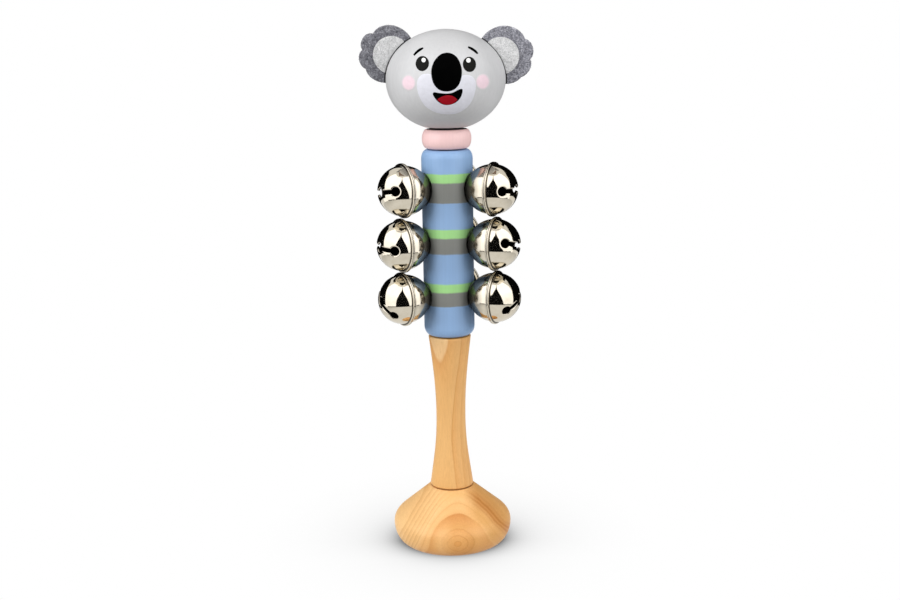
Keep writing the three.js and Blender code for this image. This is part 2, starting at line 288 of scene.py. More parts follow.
class Paint:
    """Nodes of a material or world; the helpers add nodes and give back an output."""

    def __init__(self, name, store=bpy.data.materials, output="OutputMaterial"):
        self.owner = store.new(name)
        self.owner.use_nodes = True
        self.tree = self.owner.node_tree
        self.tree.nodes.clear()
        self.output = self.tree.nodes.new("ShaderNode" + output)

    def put(self, socket, value):
        """Links a socket to an output or sets its value."""
        if isinstance(value, bpy.types.NodeSocket):
            self.tree.links.new(value, socket)
        else:
            socket.default_value = value

    def node(self, kind, inputs=None, **settings):
        made = self.tree.nodes.new("ShaderNode" + kind)
        for key, value in settings.items():
            setattr(made, key, value)
        for key, value in (inputs or {}).items():
            self.put(made.inputs[key], value)
        return made.outputs

    def place(self, scale=(1, 1, 1), offset=(0, 0, 0)):
        """Place on the object in millimetres, stretched by scale."""
        coord = self.node("TexCoord")["Object"]
        inputs = {"Vector": coord, "Scale": [1000 * s for s in scale], "Location": offset}
        return self.node("Mapping", inputs)[0]

    def axes(self):
        """The three coordinates of the place, in millimetres."""
        return self.node("SeparateXYZ", {0: self.place()})

    def noise(self, scale, offset=(0, 0, 0), detail=3, rough=0.55, distortion=0):
        inputs = {"Vector": self.place(scale, offset), "Scale": 1, "Detail": detail,
                  "Roughness": rough, "Distortion": distortion}
        return self.node("TexNoise", inputs)[0]

    def calc(self, operation, a, b=0, c=0, clamp=False):
        return self.node("Math", {0: a, 1: b, 2: c}, operation=operation, use_clamp=clamp)[0]

    def sub(self, a, b):
        return self.calc("SUBTRACT", a, b)

    def mul(self, a, b):
        return self.calc("MULTIPLY", a, b)

    def madd(self, a, b, c):
        return self.calc("MULTIPLY_ADD", a, b, c)

    def hypot(self, a, b):
        return self.calc("SQRT", self.calc("ADD", self.mul(a, a), self.mul(b, b)))

    def ramp(self, factor, stops):
        out = self.node("ValToRGB", {"Fac": factor})[0]
        elements = out.node.color_ramp.elements
        while len(elements) < len(stops):
            elements.new(0.5)
        for element, (position, colour) in zip(elements, stops):
            element.position = position
            element.color = lin(*colour)
        return out

    def span(self, factor, low, high, start=0, end=1, **settings):
        """A value that runs from low to high as the factor runs from start to end."""
        inputs = {"Value": factor, "From Min": start, "From Max": end,
                  "To Min": low, "To Max": high}
        return self.node("MapRange", inputs, **settings)[0]

    def mix(self, factor, a, b, blend="MIX"):
        made = self.node("Mix", data_type="RGBA", blend_type=blend)[0].node
        sockets = {s.identifier: s for s in made.inputs}
        for key, value in (("Factor_Float", factor), ("A_Color", a), ("B_Color", b)):
            self.put(sockets[key], value)
        return next(s for s in made.outputs if s.identifier == "Result_Color")

    def tint(self, factor, base, value, low, dark, high):
        """Darkens the base colour where a value runs low."""
        shade = self.ramp(value, [(low, dark), (high, (255, 255, 255))])
        return self.mix(factor, base, shade, "MULTIPLY")

    def bump(self, height, distance, strength):
        inputs = {"Height": height, "Distance": distance * MM, "Strength": strength}
        return self.node("Bump", inputs)[0]

    def end(self, shader):
        """Joins the last shader to the output; gives back the material or world."""
        self.tree.links.new(shader[0], self.output.inputs[0])
        return self.owner

    def finish(self, colour, rough, normal, **more):
        names = {"metal": "Metallic", "sheen": "Sheen Weight", "sheen_rough": "Sheen Roughness",
                 "specular": "Specular IOR Level"}
        inputs = {"Base Color": colour, "Roughness": rough, "Normal": normal}
        inputs.update((names[key], value) for key, value in more.items())
        return self.end(self.node("BsdfPrincipled", inputs))


def wood(name, pith, years, seed, along="Z", lean=(0, 0), drift=1, rings=None, tone_and_shade=None):
    """Sawn timber: fibres along one axis, growth years about a pith line as radii and colours."""
    p = Paint(name)
    long = {"Y": (1, 0.08, 1), "Z": (1, 1, 0.08)}[along]

    def grain(scale, offset, detail=2, rough=0.55):
        return p.noise([scale * k for k in long], offset, detail, rough)
    parts = p.axes()
    a = p.sub(parts[0], pith[0])
    b = p.sub(parts[1 if along == "Z" else 2], pith[1])
    far = rings(p, a, b) if rings else p.hypot(a, b)
    far = p.madd(p.sub(grain(0.07, (seed, 0, 0)), 0.5), drift, far)
    far = p.madd(p.sub(grain(0.5, (0, seed, 0)), 0.5), 0.4, far)
    slope, level = lean
    far = p.madd(p.calc("MAXIMUM", p.sub(level, parts[2]), 0), -slope, far)
    first, last = years[0][0], years[-1][0]
    stops = [((r - first) / (last - first), colour) for r, colour in years]
    colour = p.ramp(p.span(far, 0, 1, first, last), stops)
    if tone_and_shade:
        colour = tone_and_shade(p, colour, a, far)
    fibre = grain(2.4, (0, 0, seed), 4, 0.6)
    colour = p.tint(0.4, colour, fibre, 0.3, (226, 212, 196), 0.7)
    pore = grain(4.5, (seed, seed, 0))
    colour = p.tint(0.3, colour, pore, 0.27, (186, 138, 92), 0.36)
    cloud = p.noise((0.04, 0.04, 0.03), (0, 0, seed), 2)
    colour = p.tint(0.4, colour, cloud, 0.3, (238, 216, 190), 0.7)
    normal = p.bump(p.calc("ADD", fibre, pore), 0.02, 0.6)
    return p.finish(colour, p.span(fibre, 0.42, 0.58), normal, specular=0.4)


def base_arches(p, across, up):
    """Rings of a board sawn through the heart: round near it, then arches, steeper on the left."""
    left = p.calc("LESS_THAN", across, 0)
    reach = p.mul(across, p.madd(left, 0.35, 1.1))
    crown = p.madd(left, 3, 6.5)
    legs = p.sub(p.hypot(crown, reach), crown)
    under = p.calc("SMOOTH_MIN", p.sub(up, 10), 0, 7)
    arches = p.madd(legs, 0.9, p.madd(under, -0.6, up))
    heart = p.hypot(p.mul(across, HEART_WIDE), p.sub(up, HEART))
    rounds = p.calc("ADD", heart, HEART)
    near = p.span(rounds, 1, 0, 15, 19)
    return p.madd(near, p.sub(rounds, arches), arches)


def base_tone_and_shade(p, colour, across, far):
    """Pale sapwood in front and on the left; on the right a brown streak and a darker tone, partly
    the wood's own and partly painted shade for the right side's lesser light.
    """
    off = p.calc("ABSOLUTE", across)
    legs = p.mul(p.span(far, 0, 1, 12, 14), p.span(far, 1, 0, 16.9, 17.1))
    near = p.calc("DIVIDE", p.calc("ABSOLUTE", p.sub(far, 23.8)), 2.7)
    lines = p.span(p.calc("PINGPONG", far, 0.55), 1, 0.55, 0.1, 0.45)
    streak = p.mul(p.calc("SUBTRACT", 1, near, clamp=True), lines)
    zones = [
        (p.span(far, 0, 1, 20.8, 22.2), p.span(off, 0.85, 0, 2, 9), (240, 190, 120)),
        (legs, p.span(off, 0, 0.65, 2.5, 7.5), (236, 179, 109)),
        (p.span(far, 1, 0, 13.2, 16), p.span(across, 0.8, 0, -7, -1.5), (245, 195, 129)),
        # Painted shade in part: the right side darker between the arch and the streak
        (p.span(far, 0, 1, 16.2, 18.2), p.span(across, 0, 0.7, 2.5, 8), (221, 163, 86)),
        (streak, p.span(across, 0, 1, 2.5, 8.5), (190, 118, 36)),
    ]
    for rings, side, tone in zones:
        colour = p.mix(p.mul(rings, side), colour, lin(*tone))
    return colour


def dowel_joint_shade(p, colour, *_):
    """Painted shade: the dowel darkened in the open joint under the head."""
    off = p.calc("ABSOLUTE", p.sub(p.axes()[2], HEAD_FOOT))
    return p.mix(p.span(off, 1, 0, 0.7, 0.9), colour, lin(30, 24, 22))


def lacquer(name, colour, seed, low=0.36, high=0.5, grain=0.025):
    """Sprayed paint over turned wood: slight cloudiness, faint long grain, fine orange peel."""
    p = Paint(name)
    base = colour(p) if callable(colour) else lin(*colour)
    cloud = p.noise((0.07, 0.07, 0.05), (seed, 0, 0), 2)
    base = p.tint(0.3, base, cloud, 0.3, (240, 240, 240), 0.7)
    streak = p.noise((1.1, 1.1, 0.035), (0, seed, 0), 3)
    base = p.tint(0.3, base, streak, 0.35, (238, 238, 238), 0.65)
    peel = p.noise((0.9, 0.9, 0.9), detail=2)
    normal = p.bump(p.madd(streak, 2, peel), grain, 0.5)
    return p.finish(base, p.span(cloud, low, high), normal, specular=0.45)


def bands(p):
    """Blue, green and grey bands round the body, their edges a little uneven."""
    blue, green, grey = (141, 176, 218), (161, 218, 137), (128, 129, 124)
    edges = [(86, blue), (100.1, grey), (105.7, green), (109.1, blue), (120.9, grey),
             (127.1, green), (130.6, blue), (140.9, grey), (148.7, green), (152.2, blue)]
    wave = p.sub(p.noise((0.09, 0.09, 0.02), detail=1), 0.5)
    tooth = p.sub(p.noise((1.2, 1.2, 0.3), detail=2), 0.5)
    height = p.madd(tooth, 0.25, p.madd(wave, 0.9, p.axes()[2]))
    low, high = 85, 163
    stops = []
    for i, (edge, colour) in enumerate(edges):
        if i:
            stops.append(((edge - 0.15 - low) / (high - low), edges[i - 1][1]))
        stops.append(((edge + 0.15 - low) / (high - low), colour))
    return p.ramp(p.span(height, 0, 1, low, high), stops)


def ring_pink(p):
    """Pale pink, with the seat under the head painted dark as shade in the open joint."""
    seat = HEAD_FOOT - NECK_SEAM
    # Painted shade on the seat face inside the joint
    dark = p.span(p.axes()[2], 0, 1, seat - 0.05, seat - 0.01)
    return p.mix(dark, lin(249, 209, 207), lin(36, 28, 26))


def ink(name, colour, low=0.4, high=0.5, specular=0.3, blush=None):
    """Printed colour on the head, with the faint mottle of a pad print."""
    p = Paint(name)
    mottle = p.noise((0.8, 0.8, 0.8))
    shade = tuple(int(c * 0.965) for c in colour)
    base = p.ramp(mottle, [(0.3, shade), (0.7, colour)])
    if blush:
        base = blush(p, base)
    normal = p.bump(p.noise((1.3, 1.3, 1.3), detail=2), 0.012, 0.5)
    return p.finish(base, p.span(mottle, low, high), normal, specular=specular)


def felt_cloth(name, deep, middle, light, left, seed, slot_shade=False):
    """Pressed wool felt: clouds of fibres of several greys, no weave, the left ear painted darker
    as shade, since it is turned away from the light.

    Felt for the outer ears gets a dark line of painted shade round the mouth of its slot in the
    head."""
    p = Paint(name)
    tangle = p.noise((0.85, 0.5, 0.85), (seed, 0, 0), 5, 0.7, 1.4)
    long_a = p.noise((3, 1, 0.6), (0, seed, 0), 3, 0.6, 2)
    long_b = p.noise((0.6, 1, 3), (0, 0, seed), 3, 0.6, 2)
    value = p.madd(p.calc("MAXIMUM", long_a, long_b), 0.45, p.mul(tangle, 0.6))
    colour = p.ramp(value, [(0.43, deep), (0.55, middle), (0.66, light)])
    speck = p.noise((4.2, 4.2, 4.2), detail=2)
    colour = p.tint(0.5, colour, speck, 0.3, (196, 196, 200), 0.6)
    # Painted shade: the left ear darker, turned away from the light
    colour = p.tint(1, colour, p.span(p.axes()[0], 0, 1, -20, 20), 0, left, 1)
    # Painted shade: the felt darkens where it goes into the slot in the head
    if slot_shade:
        spot = p.place((1 / HEAD_R, 1 / HEAD_R, 1 / HEAD_UP), (0, 0, -HEAD_Z / HEAD_UP))
        off = p.node("VectorMath", {0: spot}, operation="LENGTH")["Value"]
        colour = p.mix(p.span(off, 1, 0, 1.018, 1.03), colour, lin(22, 22, 25))
    normal = p.bump(p.madd(speck, 0.4, value), 0.35, 0.7)
    return p.finish(colour, p.span(tangle, 0.9, 1), normal,
                    specular=0.15, sheen=0.25, sheen_rough=0.6)


def plated(name, colour, tarnish, low, high, wave):
    """Bright plated steel: polishing haze, slow waviness of pressed sheet, and painted shade where
    the mesh attribute asks for it.
    """
    p = Paint(name)
    haze = p.noise((0.35, 0.35, 0.35), detail=4, rough=0.6)
    scratch = p.noise((6, 6, 0.5), detail=2)
    base = p.ramp(haze, [(0.25, tarnish), (0.6, colour)])
    # Painted shade: the mesh attribute darkens the metal to a mottled dark brown inside the bell,
    # in the creases of the flange and slot lips, and towards the body
    shade_mask = p.node("Attribute", attribute_name="shade_mask")["Fac"]
    scale = p.noise((1.5, 1.5, 1.5))
    base = p.mix(shade_mask, base, p.ramp(scale, [(0.3, (26, 23, 21)), (0.7, (52, 46, 40))]))
    rough = p.madd(shade_mask, 0.25, p.madd(scratch, 0.03, p.span(haze, low, high)))
    normal = p.bump(p.noise((0.16, 0.16, 0.16), detail=1), wave, 0.4)
    return p.finish(base, rough, normal, metal=1)


# Turned wood

def bored(low, high, deep, side):
    """The profile of a turned piece with a blind dowel bore in each end."""
    foot = [(0, low + deep), (BORE, low + deep), (BORE, low)]
    return [*foot, *side, (BORE, high), (BORE, high - deep), (0, high - deep)]


def base_piece():
    rise = tan(BASE_CONE)
    cone_foot = BASE_TOP - (BASE_R - BASE_NECK) * rise
    run = BASE_SHOULDER * cos(BASE_CONE)
    shoulder = Vector((BASE_R - run, cone_foot + run * rise))
    edge = Vector((BASE_NECK, BASE_TOP))
    bend = edge + (shoulder - edge).normalized() * BASE_EDGE
    seat = BASE_TOP - BASE_SINK
    profile = [(0, 0)]
    profile += arc(BASE_FLAT, BASE_WIDEST, BASE_R - BASE_FLAT, BASE_WIDEST, -90, 0, 18)
    profile += bezier([(BASE_R, BASE_WIDEST), (BASE_R, cone_foot), shoulder], 10)[1:]
    profile += [tuple(shoulder.lerp(bend, i / 5)) for i in range(1, 6)]
    profile += bezier([bend, edge, edge - Vector((0.35, 0.12))], 4)[1:]
    profile += [(BASE_NECK - 0.6, seat), (BORE, seat)]
    profile += [(BORE, BASE_TOP - BASE_BORE), (0, BASE_TOP - BASE_BORE)]
    return make("base_turning", *lathe(profile, 128))


def handle_piece():
    r_foot, r_waist, r_top = HANDLE_R.values()
    edge, low, high = HANDLE_EDGE, BASE_TOP + FOOT_SEAM, BODY_FOOT - WAIST_SEAM
    length = BODY_FOOT - BASE_TOP
    waist, pull = BASE_TOP + length * HANDLE_SHARE, length * HANDLE_PULL
    foot_bend = r_foot - HANDLE_BEND * (r_foot - r_waist)
    top_bend = r_top - HANDLE_BEND * (r_top - r_waist)
    side = bezier([(r_foot, low + edge), (foot_bend, low + pull),
                   (r_waist, waist - pull * 0.9), (r_waist, waist)], 36)
    side += bezier([(r_waist, waist), (r_waist, waist + pull * 0.9),
                    (top_bend, high - pull), (r_top, high - edge)], 40)[1:]
    foot = bezier([(r_foot - edge, low), (r_foot - 0.02, low), side[0]], 4)[:-1]
    top = bezier([side[-1], (r_top, high), (r_top - edge, high)], 4)[1:]
    profile = bored(low, high, HANDLE_BORE, [*foot, *side, *top])
    return make("handle_turning", *lathe(profile, 112))


def bell_matrix(column, row, tip=0):
    turn = radians(COLUMN[column])
    spot = Vector((REACH[row] * cos(turn), REACH[row] * sin(turn), ROW_Z[row]))
    face = Matrix.Rotation(turn + radians(tip), 4, "Z")
    return Matrix.Translation(spot) @ face @ Matrix.Rotation(radians(90), 4, "Y")


def body_piece():
    low, high = BODY_FOOT + WAIST_SEAM, RING_FOOT - RING_SEAM
    wide, tall = BODY_EDGE
    deep = (RING_FOOT - ROW_Z["top"]) - NAIL_BORE - DOWEL_WALL
    foot = arc(BODY_R - wide, low + tall, wide, tall, -90, 0, 14)
    crown = arc(BODY_R - wide, high - tall, wide, tall, 0, 90, 14)
    plain = high - low - 2 * tall
    wall = [(BODY_R, low + tall + plain * i / 70) for i in range(1, 70)]
    profile = bored(low, high, deep, [*foot, *wall, *crown])
    body = make("body_turning", *lathe(profile, 144))
    cups, bores = [[], []], [[], []]
    along = BELL_DEEP + CUP_CLEAR
    for row in ROW_Z:
        mouth = BODY_R - REACH[row] + 1
        top = degrees(asin(mouth / along))
        bowl = arc(0, 0, BELL_R + CUP_CLEAR, along, -90, top, 10)[1:]
        cup = lathe([(0, -along), *bowl, (0, mouth)], 48)
        end, start = NAIL_TIP - BORE_CLEAR - REACH[row], BODY_R - REACH[row]
        bore = lathe([(0, end), (NAIL_BORE, end), (NAIL_BORE, start), (0, start)], 20)
        for column in COLUMN:
            seat = bell_matrix(column, row)
            for store, (verts, faces) in ((cups, cup), (bores, bore)):
                offset = len(store[0])
                store[0] += moved(verts, seat)
                store[1] += [[i + offset for i in face] for face in faces]
    carve(body, [make("cup_cutter", *cups), make("bore_cutter", *bores)])
    return body


def ring_piece():
    low, high = RING_FOOT + RING_SEAM, HEAD_FOOT - NECK_SEAM
    side = arc(RING_END, (low + high) / 2, RING_R - RING_END, (high - low) / 2, -90, 90, 28)
    return make("neck_ring_turning", *lathe([*side, (BORE, high), (BORE, low)], 112, closed=True))


def ear_frame(side):
    t = radians(EAR_BEARING[side])
    normal = Vector((cos(t) / HEAD_R, sin(t) / HEAD_UP)).normalized()
    x = HEAD_R * cos(t) + EAR_STANDOFF * normal.x
    z = HEAD_UP * sin(t) + EAR_STANDOFF * normal.y
    sign = -1 if side == "left" else 1

    def to_world(u, y, v):
        return (sign * (x + u * normal.x - v * normal.y), y,
                HEAD_Z + z + u * normal.y + v * normal.x)
    return to_world


def ear_outline(side, grow, each=34):
    chord = EAR_STANDOFF + EAR_TONGUE + grow
    reach = EAR_R + grow
    end = degrees(acos(-chord / reach))
    stops = [end, *NOTCH_DEG[side], -end]
    depths = [0, *NOTCH_DEPTH[side], 0]
    out = []
    for lobe in range(len(stops) - 1):
        for i in range(each):
            t = i / each
            a = radians(stops[lobe] + (stops[lobe + 1] - stops[lobe]) * t)
            r = reach - depths[lobe] * (1 - t) ** 5 - depths[lobe + 1] * t ** 5
            out.append((r * cos(a), r * sin(a)))
    a = radians(-end)
    out.append((reach * cos(a), reach * sin(a)))
    first, last = Vector(out[0]), Vector(out[-1])
    out += [tuple(last.lerp(first, i / 24)) for i in range(1, 24)]
    return out[::-1]


def plate(outline, rings, inner, place, shape=None):
    """A flat closed piece: an outline filled front and back, joined by edge rings."""
    verts, faces, loops = [], [], []
    for amount, depth in rings:
        loops.append(add(verts, [(u, depth, v) for u, v in inset(outline, amount)]))
    join(faces, loops)
    for end, (amount, depth) in ((0, rings[0]), (-1, rings[-1])):
        ring = inset(outline, amount)
        points, tris = fill([ring], inner, lambda m: inside(m, ring))
        numbers = loops[end] + add(verts, [(p.x, depth, p.y) for p in points[len(ring):]])
        for tri in tris:
            tri = [numbers[i] for i in tri]
            faces.append(tri if end == 0 else tri[::-1])
    if shape:
        verts = [shape(*p) for p in verts]
    return [place(*p) for p in verts], faces


def head_piece():
    seat = -HEAD_DROP + NECK_SEAM
    low_angle = degrees(asin(seat / HEAD_LOW))
    lower = arc(0, 0, HEAD_R, HEAD_LOW, low_angle, 0, 44)
    upper = arc(0, 0, HEAD_R, HEAD_UP, 0, 90, 56)[1:-1]
    profile = [(0, seat + HEAD_BORE), (BORE, seat + HEAD_BORE), (BORE, seat)]
    verts, faces = lathe([*profile, *lower, *upper, (0, HEAD_UP)], 168)
    head = make("head_turning", [(x, y, z + HEAD_Z) for x, y, z in verts], faces)
    cutters = []
    half = EAR_FELT / 2 + EAR_FIT
    rings = [(0, -half), (0, half)]
    for side in ("left", "right"):
        slot = plate(ear_outline(side, EAR_FIT, 16), rings, [], ear_frame(side))
        cutters.append(upright(make("slot_" + side, *slot)))
    carve(head, cutters)
    return head


# Felt ears

def lumps(seed, height, slit=None):
    """Uneven felt, a little bent, with a cut worked into its front where a slit is given."""
    def shape(u, y, v):
        where = Vector((u * 0.8 + seed, y * 0.8, v * 0.8))
        bulge = height * noise.fractal(where, 1, 2, 3)
        free = min(1, max(0, (u + 3) / 9))
        bend = 0.16 * free * noise.noise(Vector((u * 0.11 + seed, 3, v * 0.11)))
        sunk = 0
        if slit and y < 0:
            start, run = slit
            spot = Vector((u, v)) - start
            along = max(0, min(1, spot.dot(run) / run.length_squared))
            off = (spot - run * along).length
            sunk = 0.9 * max(0, 1 - off / 0.16) * (1 - 0.6 * along)
        return (u + 0.6 * bulge, y + bend + sunk + (bulge if y > 0 else -bulge), v + 0.6 * bulge)
    return shape


def fuzz(name, surface, count, reach, seed, free):
    """Loose fibres that lie on the felt and stand a little off its edges."""
    rng = random.Random(seed)
    mesh = surface.data
    polygons = [p for p in mesh.polygons if free(p.center)]
    weights = list(accumulate(p.area for p in polygons))
    verts, faces = [], []
    for _ in range(count):
        polygon = rng.choices(polygons, cum_weights=weights)[0]
        corners = [mesh.vertices[i].co for i in polygon.vertices]
        share = [rng.random() ** 0.7 + 1e-3 for _ in corners]
        root = sum((c * s for c, s in zip(corners, share)), Vector()) / sum(share) / MM
        normal = polygon.normal
        side = normal.orthogonal().normalized()
        side.rotate(Matrix.Rotation(rng.uniform(0, tau), 3, normal))
        length = rng.uniform(0.4, 1) * reach
        lift = rng.uniform(0.06, 0.32)
        width = rng.uniform(0.014, 0.026)
        other = normal.cross(side)
        curl = rng.uniform(-0.5, 0.5)
        rows = []
        for t in (0, 0.4, 0.75, 1):
            spot = root + side * (length * t) + normal * (lift * sin(t * 2.2) * length - 0.02)
            spot += other * (curl * length * t * t)
            half = width * (1 - 0.8 * t)
            rows.append(add(verts, [spot - other * half, spot + other * half]))
        faces += [[a, b, d, c] for (a, b), (c, d) in zip(rows, rows[1:])]
    return make(name, verts, faces)


def ear_slit(side):
    """Short cut that runs in from the first notch of the left ear, as a start and a run."""
    if side == "right":
        return None
    a = radians(NOTCH_DEG[side][0])
    out = Vector((cos(a), sin(a)))
    return out * (EAR_R - NOTCH_DEPTH[side][0] + 0.2), out * -2.6


def off_head(x, z, wide, tall):
    """Whether a point lies outside an oval round the middle of the head."""
    return (x / wide) ** 2 + ((z - HEAD_Z) / tall) ** 2 > 1


def shaken(outline, amount, rng):
    """An outline with each point moved a little at random."""
    return [(u + rng.uniform(-amount, amount), v + rng.uniform(-amount, amount))
            for u, v in outline]


def patch_outline(side, place):
    """A disc with the part at the head cut off along the head's curve."""
    wide, tall = HEAD_R + PATCH_CLEAR[side], HEAD_UP + PATCH_CLEAR[side]
    share = sqrt(1 - PATCH_FRONT ** 2 / wide ** 2)

    def out_of_head(p):
        x, _, z = place(p[0], 0, p[1])
        return off_head(x, z, wide * share, tall * share)
    disc = [(u - PATCH_INSET, v + PATCH_RISE) for u, v in circle(PATCH_R, 150)]
    free = [out_of_head(p) for p in disc]
    first = next(i for i in range(len(disc)) if free[i] and not free[i - 1])
    loop = [p for p in disc[first:] + disc[:first] if out_of_head(p)]
    start, end = Vector(loop[-1]), Vector(loop[0])
    search = Vector((14, 0))
    for i in range(1, 30):
        ray = start.lerp(end, i / 30)
        low, high = ray - search, ray + search
        for _ in range(30):
            half = (low + high) / 2
            if out_of_head(half):
                high = half
            else:
                low = half
        loop.append(tuple(high))
    return loop


def ear_pieces(side, seed):
    rng = random.Random(seed)
    place = ear_frame(side)
    outline = shaken(ear_outline(side, 0), 0.035, rng)
    face = EAR_FELT / 2
    rim = [(0.62, -face), (0.3, 0.04 - face), (0.09, 0.23 - face), (0, -0.6)]
    rings = [*rim, (0.03, 0), *[(amount, -depth) for amount, depth in rim[::-1]]]
    inner = grid(outline, 0.5, 1, rng)
    slit = ear_slit(side)
    if slit:
        start, run = slit
        across = Vector((-run.y, run.x)).normalized()
        line = [start + run * (0.4 + 0.6 * i / 8) for i in range(9)]
        inner = [p for p in inner if min((Vector(p) - q).length for q in line) > 0.4]
        inner += [tuple(q + across * off) for q in line for off in (-0.2, 0, 0.2)]
    felt = plate(outline, rings, inner, place, lumps(seed, 0.05, slit))
    outer = upright(make("ear_felt_" + side, *felt))
    sheet_area = area_of(outline) * MM * MM
    loop = shaken(patch_outline(side, place), 0.03, rng)
    rings = [(0.34, -2.45), (0.1, -2.36), (0, -2.1), (0, -1.6), (0.1, -1.38)]
    inner = grid(loop, 0.45, 0.6, rng)
    felt = plate(loop, rings, inner, place, lumps(seed + 9, 0.035))
    patch = upright(make("ear_patch_" + side, *felt))
    patch_area = area_of(loop) * MM * MM

    def bare(centre):
        x, _, z = centre / MM
        return off_head(x, z, HEAD_R + HAIR_CLEAR, HEAD_UP + HAIR_CLEAR)
    hair = fuzz("ear_fibres_" + side, outer, *EAR_HAIRS, seed + 1, bare)
    down = fuzz("patch_fibres_" + side, patch, *PATCH_HAIRS, seed + 2, bare)
    return outer, patch, hair, down, sheet_area, patch_area


# Printed face

def on_head(x, z, lift):
    """The point of the head's front over (x, z), lifted off along the head's normal."""
    tall = HEAD_UP if z > HEAD_Z else HEAD_LOW
    h = z - HEAD_Z
    y = -HEAD_R * sqrt(max(1e-6, 1 - (x / HEAD_R) ** 2 - (h / tall) ** 2))
    normal = Vector((x / HEAD_R ** 2, y / HEAD_R ** 2, h / tall ** 2)).normalized()
    return Vector((x, y, z)) + normal * lift


def print_on(name, outline, lift):
    """A film of ink that follows the head's curve."""
    rng = random.Random(len(outline))
    inner = grid(outline, INK_STEP, INK_STEP * 0.6, rng)
    rings = [(0.05, lift), (0, lift - 0.025), (0, -0.12)]
    film = plate(outline, rings, inner, lambda u, d, v: on_head(u, v, d))
    return upright(make(name, *film))


def oval(x, z, across, along, tilt=0, count=60):
    c, s = cos(radians(tilt)), sin(radians(tilt))
    spots = [(across * u, along * v) for u, v in circle(1, count)]
    return [(x + c * u - s * v, z + s * u + c * v) for u, v in spots]


def stroke(points, widths, each=12):
    """A brush stroke along a bent line, of the given half widths."""
    left, right = [], []
    line = bezier(points, each)
    for i, p in enumerate(line):
        a, b = line[max(0, i - 1)], line[min(each, i + 1)]
        t = i / each * (len(widths) - 1)
        k = min(int(t), len(widths) - 2)
        half = widths[k] + (widths[k + 1] - widths[k]) * (t - k)
        left.append(beside(p, a, b, half))
        right.append(beside(p, a, b, -half))
    out = left + right[::-1]
    return out if area_of(out) > 0 else out[::-1]


# Pressed bells

def slot_outline(grow):
    """Slot over the pole in arc lengths: a round eye in the middle and a round hole at each end."""
    far = BELL_R * SLOT_TURN
    half, eye, long = SLOT_HALF + grow, SLOT_EYE + grow, SLOT_HOLE + grow
    wide = long * SLOT_TURN / sin(SLOT_TURN)
    start = degrees(asin(half / eye))
    enter = 180 - degrees(asin(half / wide))
    near, hole_edge = eye * cos(radians(start)), far + long * cos(radians(enter))
    side = [near + (hole_edge - near) * i / 8 for i in range(1, 8)]
    arm = arc(0, 0, eye, eye, -90, -start, 10) + [(u, -half) for u in side]
    arm += arc(far, 0, long, wide, -enter, enter, 36) + [(u, half) for u in side[::-1]]
    arm += arc(0, 0, eye, eye, start, 90, 10)[:-1]
    return arm + [(-u, -v) for u, v in arm]


def dome(point, radius):
    """A point in arc lengths from the pole of the bell, put on a ball of a given radius."""
    run = hypot(*point)
    out = radius * sin(run / BELL_R)
    return (out * point[0] / run, out * point[1] / run, radius * cos(run / BELL_R))


# Crimped flange of a half shell, as radius, distance from the seam and share of painted shade, dark
# in its creases
FLANGE = [
    (9.716, 0.98, 0.2), (9.76, 0.8, 0.9), (9.84, 0.7, 1), (10.02, 0.64, 0.9), (10.26, 0.615, 0.2),
    (10.42, 0.58, 0), (10.52, 0.52, 0), (10.58, 0.4, 0), (10.6, 0.28, 0),
    (10.57, 0.13, 0.3), (10.5, SEAM_HALF, 1),
]
# Rolled edge of the slot, as distance from the slot, lift off the ball and share of painted shade,
# dark where it turns into the hole
BEAD = [
    (0.53, -0.015, 0), (0.4, -0.045, 0), (0.27, -0.09, 0), (0.15, -0.16, 0.1),
    (0.06, -0.25, 0.5), (0.01, -0.36, 0.9), (0, -0.5, 1), (0, -0.8, 1), (0.25, -0.76, 1),
    (0.48, -0.6, 1),
]


def bell_outer_shape():
    limit = BELL_R * radians(FLANGE_DEG)
    edge = circle(limit, BELL_SIDES)
    lip, clear = slot_outline(LIP), slot_outline(LIP_CLEAR)
    inner = []
    rings = 24
    for k in range(1, rings):
        run = limit * k / rings
        count = max(16, int(tau * run / 0.6))
        inner += [p for p in circle(run, count, 0.5 * (k % 2)) if not inside(p, clear)]
    points, tris = fill([edge, lip], inner, lambda m: m.length < limit and not inside(m, lip))
    verts = [dome(p, BELL_R) for p in points]
    faces = tris[:]
    back = len(verts)
    verts += [dome(p, BELL_INSIDE) for p in points]
    faces += [[i + back for i in reversed(t)] for t in tris]
    # Painted shade: the whole inside of the shell is dark, the outside not
    shade_mask = [0] * back + [1] * back

    def bridge(start, count, rings):
        """Joins an edge of the outside to the same edge of the inside by rings of points."""
        rows = [list(range(start, start + count))]
        # The second value of each ring is its share of painted shade
        for ring, bare in rings:
            rows.append(add(verts, ring))
            shade_mask.extend([bare] * len(ring))
        join(faces, [*rows, [i + back for i in rows[0]]])
    bead = [([dome(p, BELL_R + lift) for p in slot_outline(grow)], bare)
            for grow, lift, bare in BEAD]
    bridge(BELL_SIDES, len(lip), bead)
    rim = [*FLANGE, (BELL_INSIDE, SEAM_HALF, 1), (BELL_INSIDE - 0.01, 0.5, 1)]
    rim = [([(x, y, z) for x, y in circle(r, BELL_SIDES)], bare) for r, z, bare in rim]
    bridge(0, BELL_SIDES, rim)
    return verts, faces, shade_mask


